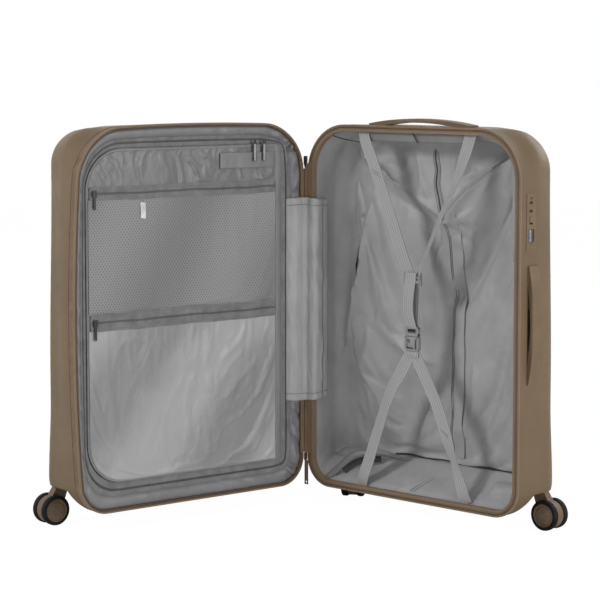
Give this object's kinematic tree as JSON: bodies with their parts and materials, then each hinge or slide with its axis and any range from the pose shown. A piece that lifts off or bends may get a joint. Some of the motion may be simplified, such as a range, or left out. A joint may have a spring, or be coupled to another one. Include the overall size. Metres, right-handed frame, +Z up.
{
  "type": "suitcase",
  "caption": "Hard shell suitcase standing open on swivel casters, with zipped divider, crossed packing straps, carry handles, combination lock and a telescopic trolley handle.",
  "frame": {"origin": "on the floor, under the middle of the open case", "axes": "+Z up, the back half stands square to the axes with its large face towards +Y and its width along X, from the hinge (-X) to the free side (+X); the front half is swung open towards -Y"},
  "size_m": [0.7622, 0.6456, 0.747],
  "materials": {
    "shell": "satin moulded shell",
    "rim": "satin",
    "zip_coil": "moulded coil",
    "band_cloth": "woven",
    "lining": "satin",
    "webbing": "woven webbing",
    "zip_tape": "woven",
    "hinge_cloth": "folded satin",
    "pull_metal": "dark plated",
    "buckle_plastic": "moulded",
    "label": "blank",
    "lock_plastic": "moulded",
    "lock_metal": "polished",
    "tube": "anodised",
    "grip": "moulded",
    "steel": "turned",
    "fork_plastic": "moulded",
    "wheel": "tyre moulded on a plastic hub"
  },
  "bodies": {
    "back_half": {"back_shell": "shell", "back_rim": "rim", "back_zip": "zip_coil", "back_wheel_housings": "shell", "hinge_tape": "band_cloth", "hinge_cover": "hinge_cloth", "back_liner": "lining", "liner_zip": "zip_tape", "upper_straps": "webbing", "lower_straps": "webbing", "strap_ring": "buckle_plastic", "adjuster_loop": "webbing", "buckle_socket": "buckle_plastic", "handle_plates": "grip", "trolley_outer_tubes": "tube", "trolley_cup": "grip", "lock_housing": "lock_plastic"},
    "front_half": {"front_shell": "shell", "front_rim": "rim", "front_zip": "zip_coil", "expander_band": "band_cloth", "front_wheel_housings": "shell", "front_liner": "lining"},
    "divider": {"divider_panel": "lining", "pocket_zips": "zip_tape", "care_label": "label"},
    "upper_pocket_pull": {"upper_pocket_pull": "pull_metal"},
    "lower_pocket_pull": {"lower_pocket_pull": "pull_metal"},
    "divider_pull_a": {"divider_pull_a": "pull_metal"},
    "divider_pull_b": {"divider_pull_b": "pull_metal"},
    "liner_zip_pull": {"liner_zip_pull": "pull_metal"},
    "buckle_plug": {"buckle_plug": "buckle_plastic"},
    "main_pull_top": {"main_pull_top": "rim"},
    "main_pull_bottom": {"main_pull_bottom": "rim"},
    "top_handle": {"top_handle": "rim"},
    "side_handle": {"side_handle": "rim"},
    "trolley_mid": {"trolley_mid_tubes": "tube"},
    "trolley_top": {"trolley_grip": "grip"},
    "trolley_button": {"trolley_button": "grip"},
    "lock_button": {"lock_button": "lock_plastic"},
    "key_cylinder": {"key_cylinder": "lock_metal"},
    "dial_1": {"dial_1": "lock_metal"},
    "dial_2": {"dial_2": "lock_metal"},
    "dial_3": {"dial_3": "lock_metal"},
    "caster_back_free": {"fork_back_free": "fork_plastic", "axle_back_free": "steel"},
    "wheel_back_free_a": {"wheel_back_free_a": "wheel"},
    "wheel_back_free_b": {"wheel_back_free_b": "wheel"},
    "caster_back_hinge": {"fork_back_hinge": "fork_plastic", "axle_back_hinge": "steel"},
    "wheel_back_hinge_a": {"wheel_back_hinge_a": "wheel"},
    "wheel_back_hinge_b": {"wheel_back_hinge_b": "wheel"},
    "caster_front_free": {"fork_front_free": "fork_plastic", "axle_front_free": "steel"},
    "wheel_front_free_a": {"wheel_front_free_a": "wheel"},
    "wheel_front_free_b": {"wheel_front_free_b": "wheel"},
    "caster_front_hinge": {"fork_front_hinge": "fork_plastic", "axle_front_hinge": "steel"},
    "wheel_front_hinge_a": {"wheel_front_hinge_a": "wheel"},
    "wheel_front_hinge_b": {"wheel_front_hinge_b": "wheel"}
  },
  "joints": [
    {"name": "shell_hinge", "type": "hinge", "parent": "back_half", "child": "front_half", "pos_m": [-0.15083, 0.18389, 0.383], "axis": [0, 0, -1], "range_deg": [-100, 80], "deforming": ["hinge_cover"]},
    {"name": "divider_hinge", "type": "hinge", "parent": "front_half", "child": "divider", "pos_m": [-0.16883, 0.13223, 0.383], "axis": [0, 0, 1], "range_deg": [0, 95]},
    {"name": "upper_pocket_zip", "type": "slide", "parent": "divider", "child": "upper_pocket_pull", "axis": [0.1736, 0.9848, 0], "range_m": [0, 0.39]},
    {"name": "lower_pocket_zip", "type": "slide", "parent": "divider", "child": "lower_pocket_pull", "axis": [0.1736, 0.9848, 0], "range_m": [0, 0.39]},
    {"name": "divider_zip_a", "type": "slide", "parent": "divider", "child": "divider_pull_a", "axis": [-0.1736, -0.9848, 0], "range_m": [0, 0.28]},
    {"name": "divider_zip_b", "type": "slide", "parent": "divider", "child": "divider_pull_b", "axis": [0.1736, 0.9848, 0], "range_m": [0, 0.03]},
    {"name": "liner_zip_slide", "type": "slide", "parent": "back_half", "child": "liner_zip_pull", "axis": [0, 0, -1], "range_m": [0, 0.52]},
    {"name": "buckle_release", "type": "slide", "parent": "back_half", "child": "buckle_plug", "axis": [0, 0, 1], "range_m": [0, 0.022], "deforming": ["adjuster_loop"]},
    {"name": "top_pull_swing", "type": "hinge", "parent": "back_half", "child": "main_pull_top", "pos_m": [-0.15083, 0.18029, 0.67], "axis": [-1, 0, 0], "range_deg": [0, 90]},
    {"name": "bottom_pull_swing", "type": "hinge", "parent": "back_half", "child": "main_pull_bottom", "pos_m": [-0.15083, 0.18389, 0.0776], "axis": [-1, 0, 0], "range_deg": [0, 60]},
    {"name": "top_handle_lift", "type": "slide", "parent": "back_half", "child": "top_handle", "axis": [0, 0, 1], "range_m": [0, 0.01], "stiffness_N_per_m": 300},
    {"name": "side_handle_lift", "type": "slide", "parent": "back_half", "child": "side_handle", "axis": [1, 0, 0], "range_m": [0, 0.01], "stiffness_N_per_m": 300},
    {"name": "trolley_lower", "type": "slide", "parent": "back_half", "child": "trolley_mid", "axis": [0, 0, 1], "range_m": [0, 0.21]},
    {"name": "trolley_upper", "type": "slide", "parent": "trolley_mid", "child": "trolley_top", "axis": [0, 0, 1], "range_m": [0, 0.21]},
    {"name": "trolley_button_press", "type": "slide", "parent": "trolley_top", "child": "trolley_button", "axis": [0, 0, -1], "range_m": [0, 0.003], "stiffness_N_per_m": 800},
    {"name": "lock_button_slide", "type": "slide", "parent": "back_half", "child": "lock_button", "axis": [0, 0, -1], "range_m": [0, 0.003], "stiffness_N_per_m": 300},
    {"name": "key_turn", "type": "hinge", "parent": "back_half", "child": "key_cylinder", "pos_m": [0.35817, 0.21789, 0.611], "axis": [1, 0, 0], "range_deg": [0, 90]},
    {"name": "dial_1_turn", "type": "hinge", "parent": "back_half", "child": "dial_1", "pos_m": [0.35257, 0.21789, 0.5513], "axis": [0, 0, 1], "continuous": true},
    {"name": "dial_2_turn", "type": "hinge", "parent": "back_half", "child": "dial_2", "pos_m": [0.35257, 0.21789, 0.544], "axis": [0, 0, 1], "continuous": true},
    {"name": "dial_3_turn", "type": "hinge", "parent": "back_half", "child": "dial_3", "pos_m": [0.35257, 0.21789, 0.5367], "axis": [0, 0, 1], "continuous": true},
    {"name": "swivel_back_free", "type": "hinge", "parent": "back_half", "child": "caster_back_free", "pos_m": [0.33116, 0.29189, 0.073], "axis": [0, 0, 1], "continuous": true},
    {"name": "roll_back_free_a", "type": "hinge", "parent": "caster_back_free", "child": "wheel_back_free_a", "pos_m": [0.35317, 0.27689, 0.028], "axis": [0, 1, 0], "continuous": true},
    {"name": "roll_back_free_b", "type": "hinge", "parent": "caster_back_free", "child": "wheel_back_free_b", "pos_m": [0.35317, 0.30689, 0.028], "axis": [0, 1, 0], "continuous": true},
    {"name": "swivel_back_hinge", "type": "hinge", "parent": "back_half", "child": "caster_back_hinge", "pos_m": [-0.11484, 0.29189, 0.073], "axis": [0, 0, 1], "continuous": true},
    {"name": "roll_back_hinge_a", "type": "hinge", "parent": "caster_back_hinge", "child": "wheel_back_hinge_a", "pos_m": [-0.11682, 0.26534, 0.028], "axis": [0.866, 0.5, 0], "continuous": true},
    {"name": "roll_back_hinge_b", "type": "hinge", "parent": "caster_back_hinge", "child": "wheel_back_hinge_b", "pos_m": [-0.09084, 0.28034, 0.028], "axis": [0.866, 0.5, 0], "continuous": true},
    {"name": "swivel_front_free", "type": "hinge", "parent": "front_half", "child": "caster_front_free", "pos_m": [-0.35173, -0.27012, 0.073], "axis": [0, 0, 1], "continuous": true},
    {"name": "roll_front_free_a", "type": "hinge", "parent": "caster_front_free", "child": "wheel_front_free_a", "pos_m": [-0.34077, -0.29439, 0.028], "axis": [-0.9848, 0.1736, 0], "continuous": true},
    {"name": "roll_front_free_b", "type": "hinge", "parent": "caster_front_free", "child": "wheel_front_free_b", "pos_m": [-0.37032, -0.28918, 0.028], "axis": [-0.9848, 0.1736, 0], "continuous": true},
    {"name": "swivel_front_hinge", "type": "hinge", "parent": "front_half", "child": "caster_front_hinge", "pos_m": [-0.27428, 0.16911, 0.073], "axis": [0, 0, 1], "continuous": true},
    {"name": "roll_front_hinge_a", "type": "hinge", "parent": "caster_front_hinge", "child": "wheel_front_hinge_a", "pos_m": [-0.29855, 0.15815, 0.028], "axis": [0.1736, 0.9848, 0], "continuous": true},
    {"name": "roll_front_hinge_b", "type": "hinge", "parent": "caster_front_hinge", "child": "wheel_front_hinge_b", "pos_m": [-0.29334, 0.1877, 0.028], "axis": [0.1736, 0.9848, 0], "continuous": true}
  ]
}
